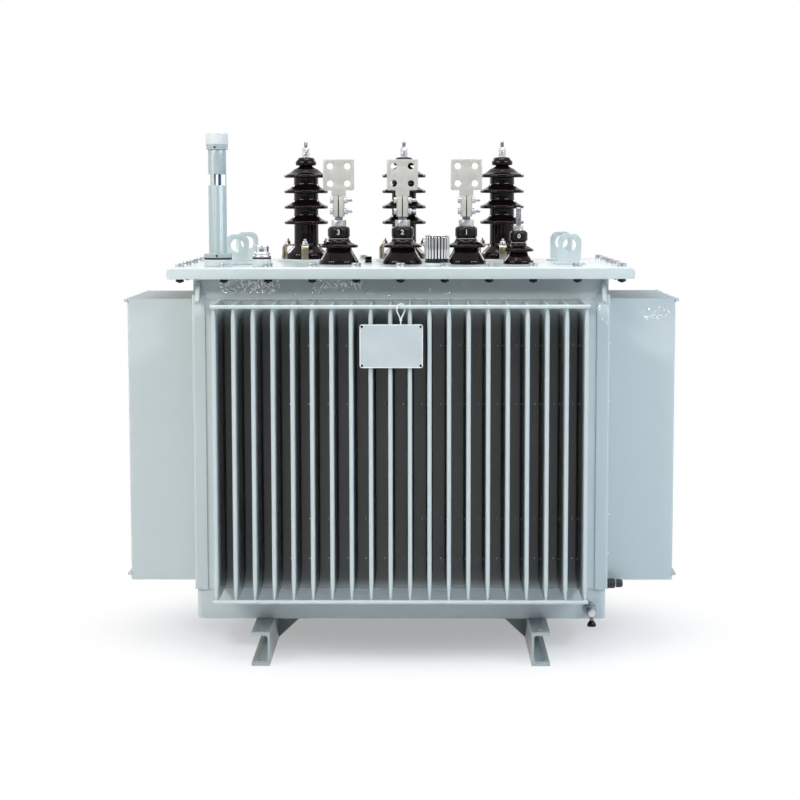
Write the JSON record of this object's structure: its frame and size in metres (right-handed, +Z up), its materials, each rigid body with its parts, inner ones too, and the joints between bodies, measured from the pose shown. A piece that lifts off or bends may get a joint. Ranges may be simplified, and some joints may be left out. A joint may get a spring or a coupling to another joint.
{
  "type": "power transformer",
  "caption": "Oil-filled distribution transformer with corrugated cooling walls, channel feet, and porcelain bushings and fittings on a bolted lid.",
  "frame": {"origin": "on the floor at the centre of the feet's bolt pattern", "axes": "+Z up, the front with the low voltage bushings faces -Y, +X to the right seen from the front"},
  "size_m": [1.34, 0.9388, 1.248],
  "materials": {
    "tank_paint": "glossy light grey paint",
    "lid_paint": "glossy light grey paint",
    "gasket_rubber": "black rubber",
    "porcelain": "dark brown glazed porcelain",
    "plated_steel": "zinc plated",
    "stud_steel": "plated threaded stud",
    "clamp_brass": "dull plated clamp",
    "cap_black": "black moulded cap",
    "tinned_metal": "tinned, satin",
    "gauge_grey": "satin light grey",
    "float_blue": "blue",
    "cap_white": "white",
    "bright_metal": "bright plated",
    "knob_black": "black",
    "stub_grey": "dark grey",
    "plate_grey": "bare satin plate",
    "tie_white": "white nylon"
  },
  "bodies": {
    "root": {"base_box": "tank_paint", "corner_hooks": "tank_paint", "corner_posts": "tank_paint", "drain_valve": "tank_paint", "filler_cap": "bright_metal", "filler_neck": "lid_paint", "fitting_gaskets": "gasket_rubber", "foot_gussets": "tank_paint", "front_tie_bars": "tank_paint", "front_wall": "tank_paint", "gauge_cap": "cap_white", "gauge_flange": "lid_paint", "gauge_float": "float_blue", "gauge_tube": "gauge_grey", "hv_clamps": "clamp_brass", "hv_nuts": "plated_steel", "hv_pads": "lid_paint", "hv_porcelain": "porcelain", "hv_studs": "plated_steel", "left_foot": "tank_paint", "left_tie_bars": "tank_paint", "left_wall": "tank_paint", "lid": "lid_paint", "lid_gasket": "gasket_rubber", "lid_plug": "cap_black", "lifting_lugs": "lid_paint", "lv_caps": "cap_black", "lv_nuts": "plated_steel", "lv_palms": "tinned_metal", "lv_porcelain": "porcelain", "lv_studs": "stud_steel", "name_plate": "plate_grey", "plate_tie": "tie_white", "rear_tie_bars": "tank_paint", "rear_wall": "tank_paint", "relief_base": "lid_paint", "relief_valve": "bright_metal", "right_foot": "tank_paint", "right_tie_bars": "tank_paint", "right_wall": "tank_paint", "side_stub": "stub_grey", "tank_flange": "tank_paint", "tank_floor": "tank_paint", "tank_neck": "tank_paint", "valve_knob": "knob_black"}
  },
  "joints": []
}
